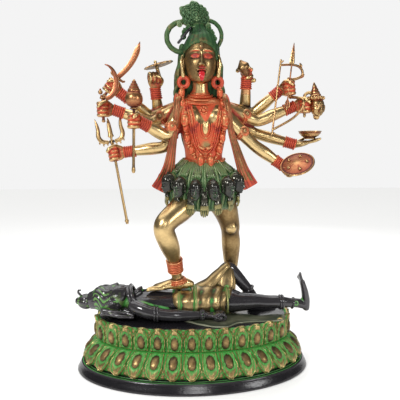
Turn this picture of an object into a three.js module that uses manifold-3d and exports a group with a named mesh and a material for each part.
// Ten-armed standing goddess on a recumbent figure, over an oval double-lotus base, in painted cast brass.
// Millimetres, +Z up, the front faces -Y. The origin is the centre of the base's underside.
import * as THREE from 'three';
import { mergeVertices } from 'three/addons/utils/BufferGeometryUtils.js';
import Module from 'manifold-3d';

const wasm = await Module();
wasm.setup();

// Driving dimensions of the base
const baseLength = 594;        // foot, along X
const baseWidth = 356;         // foot, along Y
const footHeight = 23;
const drumHeight = 110;        // from the foot band to the flat top
const lotusWaist = 49;         // how far the waist stands in from the foot's edge
const petalCount = 30;
const petalTurn = -0.23;       // share of a petal that the rows are turned by
const petalDepth = 7;
const tipRise = 4;             // how far petal tips stand over the flat top

// Driving dimensions of the figures
const figureHeight = 781;      // flat top of the base to the crown's tip
const seatClearance = 0.3;     // between pieces that rest on each other
const gripClearance = 0.3;     // round what a hand holds

// Driving dimensions of what the hands hold
const plateThickness = 4;
const swordHilt = 3.6;
const swordBlade = 104;
const swordWidth = 12;
const sickleHandle = 3.6;
const sickleBend = 29;
const sickleWidth = 14;
const maceShaft = 3.4;
const maceHead = 21;
const maceBelow = 117;
const tridentShaft = 3.5;
const tridentBelow = 172;
const tridentSpan = 64;
const tridentProng = 62;
const chakraRadius = 38;
const chakraHub = 6.5;
const chakraTeeth = 12;
const conchLength = 54;
const bowGauge = 3.4;
const stringGauge = 3.2;
const arrowShaft = 2;
const arrowHead = 52;
const bowlRadius = 29;
const bowlHeight = 20;
const bowlWall = 3;
const shieldRadius = 42;
const shieldBar = 3.4;
const trophyLock = 4;

// Places on the figures are written for a figure of this height, from the base's flat top
const sculptHeight = 781;
const unit = figureHeight / sculptHeight;
const topHeight = footHeight + drumHeight;

const X = new THREE.Vector3(1, 0, 0);
const Y = new THREE.Vector3(0, 1, 0);
const Z = new THREE.Vector3(0, 0, 1);
const vector = (x, y, z) => new THREE.Vector3(x, y, z);
const unitVector = (x, y, z) => vector(x, y, z).normalize();
const place = (x, y, z) => vector(x * unit, y * unit, topHeight + z * unit);
const size = (value) => value * unit;
const radians = THREE.MathUtils.degToRad;
const steps = (count, make) => Array.from({ length: count }, (_, i) => make(i));
const along = (from, to) => to.clone().sub(from).normalize();
const squareTo = (direction, axis) => direction.clone().addScaledVector(axis, -direction.dot(axis)).normalize();
// A point moved by pairs of direction and distance
const shift = (point, ...moves) => {
  const moved = point.clone();
  for (let i = 0; i < moves.length; i += 2) moved.addScaledVector(moves[i], moves[i + 1]);
  return moved;
};

// A closed geometry becomes a solid, and solids are joined and cut
function solid(geometry) {
  geometry.deleteAttribute('normal');
  geometry.deleteAttribute('uv');
  const merged = mergeVertices(geometry, 1e-4);
  return new wasm.Manifold(new wasm.Mesh({
    numProp: 3,
    vertProperties: new Float32Array(merged.attributes.position.array),
    triVerts: new Uint32Array(merged.index.array),
  }));
}
const join = (solids) => solids.reduce((whole, next) => whole.add(next));

// A skin over closed rings of points, capped by fans to the two end points
function loft(rings, start, end) {
  const count = rings[0].length;
  const middle = (ring) => ring.reduce((sum, p) => sum.add(p), vector(0, 0, 0)).divideScalar(count);
  const points = [...rings.flat(), start ?? middle(rings[0]), end ?? middle(rings.at(-1))];
  const first = points.length - 2;
  const last = (rings.length - 1) * count;
  const index = [];
  for (let j = 0; j < count; j++) {
    const next = (j + 1) % count;
    for (let i = 0; i < last; i += count) {
      index.push(i + j, i + next, i + count + next, i + j, i + count + next, i + count + j);
    }
    index.push(first, next, j, first + 1, last + j, last + next);
  }
  const geometry = new THREE.BufferGeometry();
  geometry.setAttribute('position', new THREE.Float32BufferAttribute(points.flatMap((p) => p.toArray()), 3));
  geometry.setIndex(index);
  return solid(geometry);
}

// An oval section square to the direction of travel; side is the way its first radius runs.
// With four sides it is a bar, and its radii are half the width and half the depth.
function section(centre, direction, side, [a, b], sides) {
  const u = squareTo(side, direction);
  const v = direction.clone().cross(u);
  const reach = sides === 4 ? Math.SQRT2 : 1;
  return steps(sides, (j) => {
    const angle = (2 * Math.PI * (j + 0.5)) / sides;
    return shift(centre, u, reach * a * Math.cos(angle), v, reach * b * Math.sin(angle));
  });
}

// A limb through its stations, each a point and one or two radii, with ends rounded off by a share of them
function limb(stations, { sides = 6, side = X, round = 0.45 } = {}) {
  const points = stations.map(([point]) => point);
  const radii = stations.map(([, r]) => (Array.isArray(r) ? r : [r, r]));
  const last = points.length - 1;
  const direction = (i) => along(points[Math.max(i - 1, 0)], points[Math.min(i + 1, last)]);
  const rings = points.map((point, i) => section(point, direction(i), side, radii[i], sides));
  const start = shift(points[0], direction(0), -round * Math.min(...radii[0]));
  const end = shift(points[last], direction(last), round * Math.min(...radii[last]));
  return loft(rings, start, end);
}
// The same from rows of x, y, z and radii on the figures
const body = (rows, options) => limb(rows.map(([x, y, z, ...radii]) =>
  [place(x, y, z), radii.length > 1 ? radii.map(size) : size(radii[0])]), options);

function ball(centre, radii, across = 6, down = 4) {
  const geometry = new THREE.SphereGeometry(1, across, down).rotateX(Math.PI / 2).scale(...radii);
  return solid(geometry.translate(...centre.toArray()));
}

function torus(centre, axis, ringRadius, gauge, around = 8, sides = 4) {
  const turn = new THREE.Quaternion().setFromUnitVectors(Z, axis);
  const geometry = new THREE.TorusGeometry(ringRadius, gauge, sides, around);
  return solid(geometry.applyQuaternion(turn).translate(...centre.toArray()));
}

// A round turned shape: pairs of radius and height along the axis, both ends on the axis
function turned(origin, axis, profile, around = 8) {
  const turn = new THREE.Quaternion().setFromUnitVectors(Y, axis);
  const geometry = new THREE.LatheGeometry(profile.map(([r, h]) => new THREE.Vector2(r, h)), around);
  return solid(geometry.applyQuaternion(turn).translate(...origin.toArray()));
}

function block(low, high) {
  const geometry = new THREE.BoxGeometry(...high.clone().sub(low).toArray());
  return solid(geometry.translate(...low.clone().add(high).divideScalar(2).toArray()));
}

// Base: oval foot, lower row of petals turned down, upper row turned up, flat top
function lotusBase() {
  const a = baseLength / 2;
  const b = baseWidth / 2;
  const fullness = [0, 1];
  const [footAngles, petalAngles] = [0, petalTurn].map((turn) => (
    evenAngles(a - lotusWaist, b - lotusWaist, petalCount * fullness.length, turn * fullness.length)));
  const oval = (inset, z, depth = 0, rise = 0, angles = petalAngles) => angles.map((angle, j) => {
    const full = fullness[j % fullness.length];
    const point = vector((a - inset) * Math.cos(angle), (b - inset) * Math.sin(angle), z + full * rise);
    const normal = unitVector(Math.cos(angle) / (a - inset), Math.sin(angle) / (b - inset), 0);
    return shift(point, normal, full * depth);
  });
  const row = (inset, share, depth = 0, rise = 0) => oval(inset, footHeight + share * drumHeight, depth, rise);
  return loft([
    oval(0, 0, 0, 0, footAngles), oval(11, footHeight, 0, 0, footAngles),
    row(27, 0.07, petalDepth * 0.5, -3), row(18, 0.24, petalDepth),
    row(lotusWaist, 0.53), row(lotusWaist - 1, 0.72, petalDepth * 0.8),
    row(lotusWaist, 1 - tipRise / drumHeight, petalDepth * 0.4, 2 * tipRise), row(lotusWaist + 7, 1),
  ]);
}

// Angles of an oval that part its edge into equal lengths, the first a share of one length on
function evenAngles(a, b, count, first) {
  const fine = 2000;
  const reach = [0];
  for (let i = 1; i <= fine; i++) {
    const angle = (2 * Math.PI * (i - 0.5)) / fine;
    reach.push(reach[i - 1] + Math.hypot(a * Math.sin(angle), b * Math.cos(angle)));
  }
  return steps(count, (j) => {
    const target = (reach[fine] * ((j + first + count) % count)) / count;
    return (2 * Math.PI * reach.findIndex((r) => r >= target)) / fine;
  });
}

// Hands. grip is the middle of the curled fingers, and axis the line that they curl round, thumb end up.
const palmLength = size(29);
const palmLift = size(9.5);    // from the middle of the palm to the middle of the grip
const fingerPitch = size(9.2);
function handFrame(grip, axis, behind, flip = 1) {
  const forward = squareTo(along(behind, grip), axis);
  const palm = forward.clone().cross(axis).multiplyScalar(-flip);
  return { grip, axis, forward, palm, wrist: shift(grip, forward, size(2.5) - palmLength, palm, -palmLift) };
}

// A closed fist: the hand rolled round the grip with a ridge for each finger, and the thumb over them
function fist({ grip, axis, forward, palm }) {
  const roll = limb(steps(7, (i) => [
    shift(grip, axis, (i / 2 - 1.5) * fingerPitch, forward, size(-6), palm, size(-2)),
    i % 2 ? [size(18), size(12)] : [size(21), size(15)]]), { sides: 5, side: forward, round: 0.25 });
  const thumb = limb([
    [shift(grip, forward, size(-10), axis, size(14), palm, size(5)), size(4.5)],
    [shift(grip, forward, size(6), axis, size(9), palm, size(12)), size(3.5)],
  ], { sides: 4, side: axis });
  return [roll, thumb];
}

// An open hand: palm and four fingers side by side, curved as one towards the palm, and the thumb beside them
function openHand({ axis, forward, palm, wrist }, bend) {
  const stations = [[0, 0, 0.7], [palmLength, 0, 1], [size(19), 0.5, 0.95], [size(19), 1, 0.8]];
  let knuckle = wrist;
  const rings = stations.map(([length, share, wide]) => {
    const ahead = shift(vector(0, 0, 0), forward, Math.cos(bend * share), palm, Math.sin(bend * share));
    const under = shift(vector(0, 0, 0), palm, Math.cos(bend * share), forward, -Math.sin(bend * share));
    knuckle = shift(knuckle, ahead, length);
    const backs = steps(7, (i) => shift(knuckle, axis, (1.75 - i * 0.583) * fingerPitch * wide,
      under, size(i % 2 ? -4.5 : -7) * wide));
    const front = [-1, 1].map((s) => shift(knuckle, axis, s * 1.9 * fingerPitch * wide, under, size(5)));
    return [...backs, ...front];
  });
  const thumb = limb([
    [shift(wrist, forward, palmLength * 0.3, axis, size(11), palm, size(2)), size(4.5)],
    [shift(wrist, forward, palmLength * 0.9, axis, size(21), palm, size(9)), size(3)],
  ], { sides: 4, side: palm });
  const leftHanded = palm.dot(forward.clone().cross(axis)) > 0;
  return [loft(leftHanded ? rings.map((ring) => ring.reverse()) : rings), thumb];
}

// An arm from the shoulder to the wrist, with a wide cuff above the wrist and, on some, an armlet
function arm(shoulder, elbow, { wrist, axis }, { thick = 1, armlet = false } = {}) {
  const upper = (t) => shoulder.clone().lerp(elbow, t);
  const lower = (t) => elbow.clone().lerp(wrist, t);
  const girth = (r) => size(r * thick);
  const cuff = size(27) / elbow.distanceTo(wrist);
  const bend = along(shoulder, elbow).angleTo(along(elbow, wrist));
  const band = armlet ? [[upper(0.6), girth(16.5)], [upper(0.62), girth(19)]] : [];
  return limb([
    [shoulder, girth(18)], ...band,
    [elbow, [girth(15), girth(15) / Math.cos(Math.min(bend / 2, 0.85))]],
    [lower(0.96 - cuff), girth(12.5)], [lower(0.98 - cuff), size(15)], [wrist, [size(12.5), size(10)]],
  ], { sides: 5, side: axis });
}

// The disc lies across the raised finger, and the shield's bar across its back
const chakraAxis = unitVector(-0.276, -0.06, 0.961);
const shieldFace = unitVector(-0.359, -0.545, 0.772);
const shieldBarLine = squareTo(unitVector(0.7, 0.38, 0.6), shieldFace);

// Where each hand grips, the way the held thing points, and the side that the forearm comes from
const upright = (lean) => unitVector(lean, 0, 1);
const grips = {
  sword: handFrame(place(-203, 20, 578), unitVector(0.6, -0.05, 0.8), place(-180, 26, 560)),
  sickle: handFrame(place(-219, -16, 518), upright(-0.02), place(-184, -6, 512)),
  mace: handFrame(place(-141, -76, 487), upright(0.02), place(-118, -52, 478)),
  trident: handFrame(place(-197, 6, 411), unitVector(-0.185, 0.13, 1), place(-155, 2, 411)),
  finger: handFrame(place(-98, 42, 604), unitVector(1, 0.25, 0.1), place(-93, 50, 570), -1),
  conch: {
    ...handFrame(place(136, 32, 617), unitVector(-0.45, -0.1, 0.89), place(136, 36, 590), -1),
    wrist: place(139, 36, 603),
  },
  bow: handFrame(place(241, -4, 574), upright(-0.12), place(216, 12, 552), -1),
  trophy: handFrame(place(278, -14, 530), upright(0), place(247, -3, 513), -1),
  bowl: handFrame(place(286, 12, 448), unitVector(0.03, 1, 0), place(240, 20, 441), -1),
  shield: {
    ...handFrame(place(240, -41, 374), shieldBarLine, place(219, -21, 383), -1),
    wrist: place(223, -25, 381),
  },
};
const fists = ['finger', 'conch', 'sword', 'sickle', 'mace', 'trident', 'bow', 'trophy', 'shield'];

function arms() {
  const left = (y, z) => place(-34, y, z);
  const right = (y, z) => place(76, y, z);
  const index = shift(grips.finger.wrist, grips.finger.forward, palmLength * 0.9, grips.finger.axis,
    1.5 * fingerPitch);
  return [
    arm(left(24, 524), place(-84, 58, 492), grips.finger, { thick: 0.95 }),
    arm(left(18, 528), place(-104, 45, 505), grips.sword, { thick: 0.92 }),
    arm(left(4, 526), place(-102, 18, 487), grips.sickle, { armlet: true }),
    arm(left(-14, 512), place(-64, -24, 452), grips.mace),
    arm(left(4, 508), place(-68, 4, 428), grips.trident),
    arm(right(24, 524), place(138, 58, 500), grips.conch, { thick: 0.95 }),
    arm(right(18, 528), place(156, 40, 513), grips.bow, { thick: 0.95 }),
    arm(right(2, 524), place(164, 8, 492), grips.trophy, { armlet: true }),
    arm(right(14, 512), place(160, 30, 464), grips.bowl, { thick: 0.95 }),
    arm(right(-12, 508), place(149, -26, 432), grips.shield, { armlet: true }),
    ...fists.flatMap((name) => fist(grips[name])),
    limb([[index, size(5)], [shift(index, chakraAxis, size(38)), size(4)]], { sides: 5 }),
    ...openHand(grips.bowl, 0.05),
  ];
}

// Head, hair and crown
function head() {
  const middle = 18.6;
  return [
    body([
      [middle, -20, 583, 13, 12], [middle, -13, 593, 26, 26], [middle, -6, 608, 35, 37],
      [middle, -1, 634, 40, 44], [middle, 1, 662, 37.5, 43], [middle, 3, 684, 26, 31],
    ], { sides: 9 }),
    body([[middle, -40, 646, 2.5, 3], [middle, -45, 624, 6, 4.5]], { sides: 4 }),
    body([[middle, -34, 611, 6, 4], [middle, -44, 593, 5, 3]], { sides: 4 }),
    ...[-1, 1].flatMap((s) => [
      ball(place(middle + s * 41, 1, 620), [size(7), size(9), size(24)], 4, 4),
      torus(place(middle + s * 42, -4, 587), unitVector(s * 0.25, -1, 0), size(11.5), size(6.5), 7, 3),
    ]),
  ];
}

function hairAndCrown() {
  const cap = body([
    [17, 9, 664, 45, 44], [18, 4, 686, 38, 38], [16, 4, 700, 31, 31], [12, 4, 714, 20, 22], [11, 4, 724, 18, 19],
  ], { sides: 8, round: 0 });
  // A rosette of petals set upright over the crown's neck
  const petals = 8;
  const rosette = loft([[16, 0.55], [0, 1], [-16, 0.6]].map(([y, spread]) => steps(petals * 2, (j) => {
    const angle = (2 * Math.PI * (j + 0.5)) / (petals * 2);
    const reach = spread * (j % 2 ? 1 : 0.86);
    const up = Math.sin(angle);
    return place(7 - 6 * Math.max(0, up) + 37 * reach * Math.cos(angle), y, 748 + (up > 0 ? 34 : 31) * reach * up);
  })));
  const loop = (x, z, across, high, gauge, from, to) => limb(steps(7, (i) => {
    const angle = radians(from + ((to - from) * i) / 6);
    return [place(x + across * Math.cos(angle), 5, z + high * Math.sin(angle)), size(gauge)];
  }), { sides: 4, side: Y });
  const fall = body([
    [17, 17, 668, 44, 34], [17, 26, 600, 48, 27], [17, 40, 540, 53, 20], [15, 46, 450, 45, 15],
    [14, 46, 412, 40, 10],
  ], { sides: 7 });
  return [cap, rosette, fall, loop(-26, 696, 38, 36, 6.5, 78, 282), loop(34, 700, 37, 37, 5.2, 84, -65)];
}

// Trunk with its collar, necklace, garland and scarf
function trunk() {
  const chest = body([
    [28, 10, 285, 58, 46], [28.5, 6, 383, 51, 40], [27, 5, 405, 46.5, 36], [27.5, 5, 455, 55, 40],
    [25, 5, 498, 63, 44], [20, 7, 525, 66, 39], [18, 8, 543, 52, 31], [18, 6, 556, 27, 24],
    [18, 2, 596, 20, 20],
  ], { sides: 10 });
  const breasts = [-1, 1].map((s) => ball(place(26 + s * 29, -30, 498), [22, 17, 21].map(size), 6, 4));
  const collar = limb(steps(7, (i) => {
    const angle = Math.PI * (1 + i / 6);
    return [place(18 + 36 * Math.cos(angle), 8 + 38 * Math.sin(angle), 546 + 12 * Math.sin(angle)), size(5)];
  }), { sides: 4, side: Z });
  const necklace = limb(steps(7, (i) => {
    const angle = Math.PI * (1 + i / 6);
    const drop = -Math.sin(angle);
    return [place(27 + 27 * Math.cos(angle), -35 - 10 * Math.sin(Math.PI * Math.min(drop + 0.35, 1)),
      525 - 122 * drop), [size(4.5), size(3)]];
  }), { sides: 4, side: X });
  return [chest, ...breasts, collar, necklace];
}

function garland() {
  const beads = 5;
  const string = (fromX, toX, top, low, bow) => limb(steps(2 * beads + 1, (i) => {
    const t = i / (2 * beads);
    return [place(fromX + (toX - fromX) * t + bow * Math.sin(Math.PI * t), -28 - 13 * Math.sin(Math.PI * t * 0.9),
      top + (low - top) * t), size(i % 2 ? 6.5 : 3)];
  }), { sides: 4 });
  return [string(-28, -4, 560, 398, -8), string(70, 60, 558, 398, 6),
    ...[14, 41].map((x) => ball(place(x, -34, 394), [size(11), size(9), size(9)], 5, 4))];
}

function scarf() {
  return [
    body([[-32, 22, 545, 8, 4], [-36, -14, 556, 8, 4], [-41, -34, 520, 7, 4], [-46, -32, 470, 7, 4],
      [-60, -18, 378, 14, 4], [-85, -14, 324, 19, 4]], { sides: 4, round: 0 }),
    body([[68, 22, 545, 8, 4], [74, -14, 556, 8, 4], [84, -34, 518, 7, 4], [91, -32, 468, 7, 4],
      [121, -22, 378, 13, 4], [143, -20, 332, 19, 4]], { sides: 4, round: 0 }),
  ];
}

// Skirt: a tier of severed heads over a fringe of hands that hang between them, cut round one oval
function skirt() {
  const lobes = 14;
  const pattern = [0, 1, 1];
  const count = lobes * pattern.length;
  const rows = [[394, 50, 38], [354, 80, 63, 8], [334, 89, 72, 13], [314, 81, 63, 8], [310, 84, 66, 0, 6],
    [290, 84, 66, 0, 12, 10]];
  return [loft(rows.reverse().map(([z, a, b, heads = 0, hands = 0, drop = 0]) => steps(count, (j) => {
    const angle = -Math.PI / 2 + (2 * Math.PI * j) / count;
    const full = pattern[j % pattern.length];
    const depth = heads * full + hands * (1 - full);
    const dip = 12 * Math.max(0, -Math.sin(angle));
    return place(23 + (a + depth) * Math.cos(angle), (b + depth) * Math.sin(angle), z - dip - drop * (1 - full));
  })))];
}

// Legs and feet: the front foot stands on the chest, the back foot on the base
const soleHeight = 66;
function legs() {
  const foot = (heel, toe, lift, sole) => {
    const at = (t, z) => place(heel[0] + (toe[0] - heel[0]) * t, heel[1] + (toe[1] - heel[1]) * t, sole + z);
    const sideways = along(at(0, 0), at(1, 0)).cross(Z);
    return limb([
      [at(0, 12), [size(12), size(13)]], [at(0.2, 14), [size(16), size(17 + lift)]],
      [at(0.7, 6), [size(18), size(11)]], [at(1, 3), [size(11), size(5)]],
    ], { sides: 6, side: sideways }).subtract(block(place(-400, -400, -400), place(400, 400, sole)));
  };
  return [
    body([
      [4, 4, 310, 36], [-32, -38, 276, 31], [-72, -71, 246, 26], [-66, -64, 208, 25], [-57, -48, 178, 22.5],
      [-49, -32, 148, 18], [-48.8, -31.5, 146, 21], [-46, -22, 118, 19], [-45.8, -21.5, 116, 15],
      [-40.5, -15, 97, 15], [-40.3, -15, 96, 24], [-38, -14, 84, 24],
    ], { sides: 6 }),
    body([
      [58, 16, 310, 38], [84, 24, 268, 33.5], [99, 33, 216, 25], [103, 46, 172, 24.5],
      [107, 67, 98, 18], [107.2, 67.5, 96, 21], [108, 74, 72, 19], [108.2, 74.5, 70, 15], [108, 82, 20, 15.5],
    ], { sides: 6 }),
    foot([-16, -10], [-115, -16], 2, soleHeight),
    foot([88, 92], [176, 70], 0, seatClearance / unit),
  ];
}

// The lying figure: head to -X, feet to +X, the far knee raised under its cloth
function recumbentFigure() {
  const lying = { side: Y, sides: 6 };
  const parts = [
    // Trunk, stepped out to the hide cloth from the waist down
    body([[-176, -8, 42, 16, 16], [-155, -8, 36, 30, 24], [-130, -8, 35, 46, 30],
      [-38, -6, 32, 43, 31], [-35, -6, 33, 48, 34], [66, -2, 35, 50, 35],
      [100, -14, 35, 32, 30]], { side: Y, sides: 8, round: 0.2 }),
    ball(place(-211, -8, 44), [37, 33, 35].map(size), 7, 5),
    body([[-206, -8, 72, 4, 6], [-193, -8, 74, 5, 5]], { sides: 4, side: Y }),
    // Hair drawn to a knot beyond the head, and spread in waves under it
    body([[-286, -8, 38, 11, 11], [-272, -8, 38, 19, 19], [-252, -8, 38, 15, 15]], lying),
    body(steps(5, (i) => [-224 + 16 * i, -8, 14, (i % 2 ? 50 : 32) + 2 * i, i % 2 ? 22 : 16]), lying),
    torus(place(-152, -8, 44), unitVector(1, 0, 0.35), size(31), size(7), 7, 3),
    // Near arm with armlet and wrist beads, the hand curled on a ball
    body([[-142, -44, 32, 20], [-110, -57, 22, 17], [-109, -57, 22, 20], [-96, -61, 19, 19], [-95, -61, 19, 15],
      [-50, -64, 16, 14], [10, -62, 15, 11], [12, -62, 15, 13.5], [24, -62, 14, 12], [44, -64, 16, 16, 8],
      [64, -68, 13, 14, 7], [72, -72, 7, 10, 6]], lying),
    ball(place(55, -75, 9), [11, 11, 11].map(size), 5, 4),
    body([[-142, 28, 32, 20], [-100, 50, 18, 15], [-6, 50, 12, 9.5], [20, 50, 10, 12], [40, 50, 8, 7]],
      { sides: 5, side: Y }),
    // Near leg, straight, with a cuff over the ankle and the foot upright
    body([[70, -20, 34, 27], [160, -17, 32, 20], [220, -18, 30, 16], [221, -18, 30, 19],
      [232, -18, 29, 18], [233, -18, 29, 13], [262, -20, 28, 12], [286, -22, 24, 12]], lying),
    body([[291, -22, 15, 12, 9], [289, -22, 38, 14, 11], [284, -22, 66, 15, 8], [271, -22, 108, 10, 5]], lying),
    // Far leg, the knee raised and the foot set down beyond the near leg
    body([[46, 24, 34, 31], [66, 24, 70, 25], [86, 25, 106, 18], [96, 26, 110, 17], [138, 29, 62, 15],
      [158, 31, 38, 12], [168, 32, 20, 12]], lying),
    body([[162, 32, 13, 13, 12], [190, 34, 10, 15, 9], [214, 35, 7, 10, 6]], lying),
    // Cloth over the raised thigh, falling in a point in front of it
    body([[0, 14, 42, 28, 20], [44, 16, 68, 28, 18], [88, 22, 118, 20, 8]], lying),
    body([[93, 12, 112, 5, 4], [86, -2, 84, 15, 5], [86, -10, 56, 24, 6]], { sides: 4 }),
  ];
  const bed = block(place(-400, -400, -400), place(400, 400, seatClearance / unit));
  const underSole = block(place(-128, -60, soleHeight - seatClearance / unit), place(-8, 40, 400));
  return join(parts).subtract(bed).subtract(underSole);
}

// What the hands hold. With room given, each returns only the solid that its hand is hollowed by.
const shaftSides = 5;
const rod = (from, to, radius, side, sides = shaftSides) =>
  limb([[from, radius], [to, radius]], { sides, side, round: 0 });
const hollow = (from, to, radius, side, room) => rod(from, to, radius + room / Math.cos(Math.PI / shaftSides), side);
// A held thing's own directions: up its shaft, and to the right as it is seen from the front
const frameOf = ({ grip, axis }) => {
  const across = squareTo(X, axis);
  return { grip, axis, across, at: (x, z, y = 0) => shift(grip, across, x, axis, z, Y, y) };
};

function sword(room = 0) {
  const { across, at } = frameOf(grips.sword);
  if (room) return hollow(at(0, -22), at(0, 25), swordHilt, across, room);
  const guard = 26;
  const blade = steps(6, (i) => {
    const t = i / 5;
    const width = (swordWidth / 2) * (t < 0.7 ? 0.8 + 0.28 * t : 1 - (t - 0.7) * 3);
    return [at(8 * Math.sin(Math.PI * t) - 6 * t * t, guard + swordBlade * t), [width, plateThickness / 2]];
  });
  const hilt = limb([[at(0, -31), 3], [at(0, -27), 6], [at(0, -23), swordHilt], [at(0, guard), swordHilt]],
    { sides: shaftSides, side: across });
  return join([hilt, rod(at(-17, guard), at(17, guard), 3, Y, 4), limb(blade, { sides: 4, side: across })]);
}

function sickle(room = 0) {
  const { across, at } = frameOf(grips.sickle);
  const neck = 27;
  if (room) return hollow(at(0, -21), at(0, neck - 4), sickleHandle, across, room);
  const blade = steps(8, (i) => {
    const t = i / 7;
    const angle = radians(-98 + 180 * t);
    const width = (sickleWidth / 2) * Math.sin(Math.PI * (0.22 + 0.72 * t));
    return [at(5 + sickleBend * Math.cos(angle), neck + 39 + 1.4 * sickleBend * Math.sin(angle)),
      [width, plateThickness / 2]];
  });
  return join([
    limb([[at(0, -26), 5], [at(0, -21), sickleHandle], [at(0, neck - 4), sickleHandle], [at(0, neck), 7],
      [at(-3, neck + 5), 3], [at(-5, neck + 12), 5], [at(-5, neck + 18), 2]], { sides: shaftSides, side: across }),
    limb(blade, { sides: 4, side: across }),
  ]);
}

function mace(room = 0) {
  const { grip, axis } = grips.mace;
  const neck = 24;
  if (room) {
    const radius = maceShaft + room / Math.cos(Math.PI / 8);
    return turned(grip, axis, [[0, -neck], [radius, -neck], [radius, neck], [0, neck]]);
  }
  const middle = neck + 5 + maceHead;
  const bulb = [-50, -12, 25].map(radians)
    .map((a) => [maceHead * Math.cos(a), middle + maceHead * Math.sin(a)]);
  const tiers = steps(2, (i) => [[14 - 5 * i, middle + 17 + 10 * i], [11 - 5 * i, middle + 22 + 10 * i]]).flat();
  return turned(grip, axis, [[0, -maceBelow - 5], [4.4, -maceBelow + 5], [maceShaft, -maceBelow + 11],
    [maceShaft, neck + 1], [9, neck + 3], [8, neck + 6], ...bulb, ...tiers, [0, middle + 45]], 8);
}

function trident(room = 0) {
  const { across, at } = frameOf(grips.trident);
  if (room) return hollow(at(0, -26), at(0, 24), tridentShaft, across, room);
  const hub = 31;
  const half = tridentSpan / 2;
  const prong = (s) => limb([[0, hub, 3.4], [0.6, hub + 2, 3.5], [0.95, hub + 14, 3.4],
    [0.9, hub + 38, 2.6], [1, hub + tridentProng, 1]].map(([x, z, r]) => [at(s * half * x, z), [r, r * 0.75]]),
  { sides: 4, side: across });
  const middle = limb([[hub - 2, 3], [hub + 9, 3.2], [hub + 12, 6], [hub + 56, 1]]
    .map(([z, r]) => [at(0, z), [r, 2.6]]), { sides: 4, side: across });
  const shaft = limb([[at(0, -tridentBelow - 4), 2], [at(0, -tridentBelow), 5.4], [at(0, -tridentBelow + 6),
    tridentShaft], [at(0, hub), tridentShaft]], { side: across, sides: shaftSides });
  return join([shaft, prong(-1), prong(1), middle]);
}

const chakraPlace = () => {
  const { wrist, forward, axis, palm } = grips.finger;
  return shift(wrist, forward, palmLength * 0.9 + size(30), axis, 1.5 * fingerPitch, palm, size(6));
};
function chakra(room = 0) {
  const across = squareTo(X, chakraAxis);
  const up = chakraAxis.clone().cross(across);
  const round = (count, radius, turn = 1) => steps(count, (j) => {
    const angle = (turn * 2 * Math.PI * j) / count;
    return new THREE.Vector2(radius(j) * Math.cos(angle), radius(j) * Math.sin(angle));
  });
  const shape = new THREE.Shape(round(2 * chakraTeeth, (j) => chakraRadius + room - (j % 2 ? 4 : 0)));
  shape.holes.push(new THREE.Path(round(8, () => chakraHub - room, -1)));
  const depth = plateThickness + 2 * room;
  const geometry = new THREE.ExtrudeGeometry(shape, { depth, bevelEnabled: false });
  geometry.translate(0, 0, -depth / 2);
  return solid(geometry.applyMatrix4(
    new THREE.Matrix4().makeBasis(across, up, chakraAxis).setPosition(chakraPlace())));
}

function conch(room = 0) {
  const { grip, axis, palm } = grips.conch;
  const profile = room ? [[0, -0.5], [0.31, 0], [0.31, 0.25], [0, 0.5]]
    : [[0, -0.5], [0.1, -0.3], [0.26, 0], [0.3, 0.2], [0.18, 0.34], [0, 0.5]];
  return turned(shift(grip, axis, size(7), palm, size(10)), axis,
    profile.map(([r, h]) => [r * (conchLength + 5 * room), h * (conchLength + 4 * room)]));
}

// Bow: two round limbs that spring from the grip, and a string between their tips
function bow(room = 0) {
  const { across, at } = frameOf(grips.bow);
  const upper = [[0, 22], [20, 21], [36, 30], [26, 51], [8, 56], [-18, 58]];
  const lower = [[0, -22], [14, -27], [24, -38], [13, -60], [-10, -78], [-58, -98]];
  if (room) return hollow(at(0, -22), at(0, 22), bowGauge, Y, room);
  const depths = [[0, -1, -2, -3, -4, -5], [0, -16, -31, -33, -29, -24]];
  const limbs = [upper, lower].map((line, k) => limb(line.map(([x, z], i) => [at(x, z, depths[k][i]),
    0.85 * bowGauge - 0.1 * i]), { sides: 4, side: Y }));
  const top = at(...upper.at(-1), depths[0].at(-1));
  const low = at(...lower.at(-1), depths[1].at(-1));
  const line = along(low, top);
  const string = limb([[shift(low, line, -8, across, 8), 2.2], [low, stringGauge / 2], [top, stringGauge / 2],
    [shift(top, line, 12, across, 5), 2.2]], { sides: 4, side: Y });
  return join([rod(at(0, -24), at(0, 24), bowGauge, Y), ...limbs, string]);
}

function arrow(room = 0) {
  const { at, across } = frameOf({ grip: shift(grips.bow.grip, X, -4, Y, -13), axis: upright(0.1) });
  const neck = 56;
  if (room) return hollow(at(0, -47), at(0, neck), arrowShaft, across, room);
  return limb([[at(0, -54), 3.4], [at(0, -48), arrowShaft], [at(0, neck), arrowShaft], [at(0, neck + 2), [7, 3.4]],
    [at(0, neck + 12), [5.6, 3]], [at(0, neck + arrowHead), 0.8]], { side: across, sides: shaftSides });
}

function severedHead(room = 0) {
  const { grip } = grips.trophy;
  const at = (x, z, y = 0) => shift(grip, X, x, Z, z, Y, y);
  const lockTop = 26;
  if (room) return hollow(at(0, -30), at(0, lockTop), trophyLock, Y, room);
  return join([
    limb([[at(0, -24), trophyLock], [at(0, lockTop - 3), trophyLock], [at(0, lockTop), trophyLock],
      [at(12, 30, -2), 4.5], [at(26, 22, -4), 7]], { sides: shaftSides, side: Y }),
    limb([[at(29, -30, -6), 9], [at(29, -20, -4), 15], [at(29, 8, -4), 16], [at(29, 20, -4), 17],
      [at(29, 22, -4), 20], [at(28, 28, -4), 12], [at(21, 55, -4), 1.5]], { sides: 7 }),
    limb([[at(29, 4, -18.5), 2], [at(29, -6, -19.5), 3]], { sides: 4 }),
  ]);
}

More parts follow.
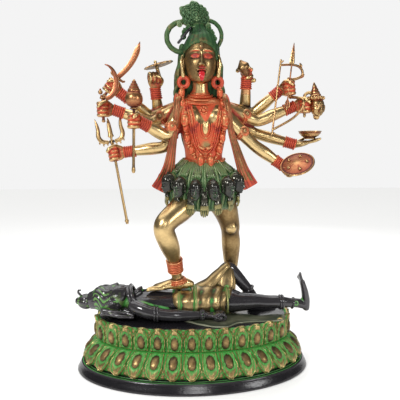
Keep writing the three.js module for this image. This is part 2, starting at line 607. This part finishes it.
function bowl(room = 0) {
  const { wrist, forward, palm } = grips.bowl;
  const seat = shift(wrist, forward, palmLength + size(12), palm, size(7.5));
  const foot = bowlRadius * 0.5;
  const outer = [[0, -room], [foot + room, -room], [bowlRadius * 0.8 + room, bowlHeight * 0.45],
    [bowlRadius + room, bowlHeight]];
  const inner = [[bowlRadius - bowlWall * 0.9, bowlHeight], [bowlRadius * 0.8 - bowlWall, bowlHeight * 0.55],
    [foot - 1, bowlWall], [0, bowlWall]];
  return turned(seat, Z, room ? [...outer, [0, bowlHeight]] : [...outer, ...inner], 14);
}

function shield(room = 0) {
  const { grip, axis } = grips.shield;
  const up = shieldFace.clone().cross(axis);
  const at = (x, z, lift = 0) => shift(grip, axis, x, up, z, shieldFace, lift);
  const half = 22;
  const lift = 20;
  if (room) return hollow(at(1 - half, 0), at(half - 1, 0), shieldBar, up, room);
  const handle = limb([[at(-half, 0, lift), shieldBar], [at(-half, 0), shieldBar], [at(half, 0), shieldBar],
    [at(half, 0, lift), shieldBar]], { sides: shaftSides, side: up, round: 0 });
  const [x, z] = [3, -21];
  const disc = turned(at(x, z, lift), shieldFace, [[0, -2], [shieldRadius - 5, -2], [shieldRadius, 0],
    [0, plateThickness + 3]], 16);
  const bosses = steps(5, (i) => {
    const angle = radians(72 * i + 17);
    return ball(at(x + 24 * Math.cos(angle), z + 24 * Math.sin(angle), lift + plateThickness), [4.5, 4.5, 4.5], 4, 3);
  });
  return join([disc, handle, ...bosses]);
}

// Colours of the painted and rubbed brass
const finish = (colour, roughness, metalness) =>
  new THREE.MeshStandardMaterial({ color: new THREE.Color(colour), roughness, metalness });
const gold = finish('#b8954f', 0.35, 1);
const redBrass = finish('#b5533a', 0.5, 0.6);
const verdigris = finish('#4f8a3c', 0.6, 0.4);
const blackened = finish('#1c1a20', 0.3, 0.5);

const object = new THREE.Group();
function piece(name, shape, material) {
  const { vertProperties, triVerts } = shape.getMesh();
  const geometry = new THREE.BufferGeometry();
  geometry.setAttribute('position', new THREE.BufferAttribute(vertProperties, 3));
  geometry.setIndex(new THREE.BufferAttribute(triVerts, 1));
  geometry.computeVertexNormals();
  const mesh = new THREE.Mesh(geometry, material);
  mesh.name = name;
  object.add(mesh);
}

const held = { chakra, sword, sickle, mace, trident, conch, bow, arrow, severed_head: severedHead, bowl, shield };
const goddess = join([...trunk(), ...legs(), ...skirt(), ...scarf(), ...garland(), ...arms(), ...head(),
  ...hairAndCrown()]);

piece('lotus_base', lotusBase(), verdigris);
piece('recumbent_figure', recumbentFigure(), blackened);
piece('kali_figure', Object.values(held).reduce((figure, make) => figure.subtract(make(gripClearance)), goddess),
  gold);
for (const [name, make] of Object.entries(held)) piece(name, make(), name === 'trident' ? gold : redBrass);

export default object;
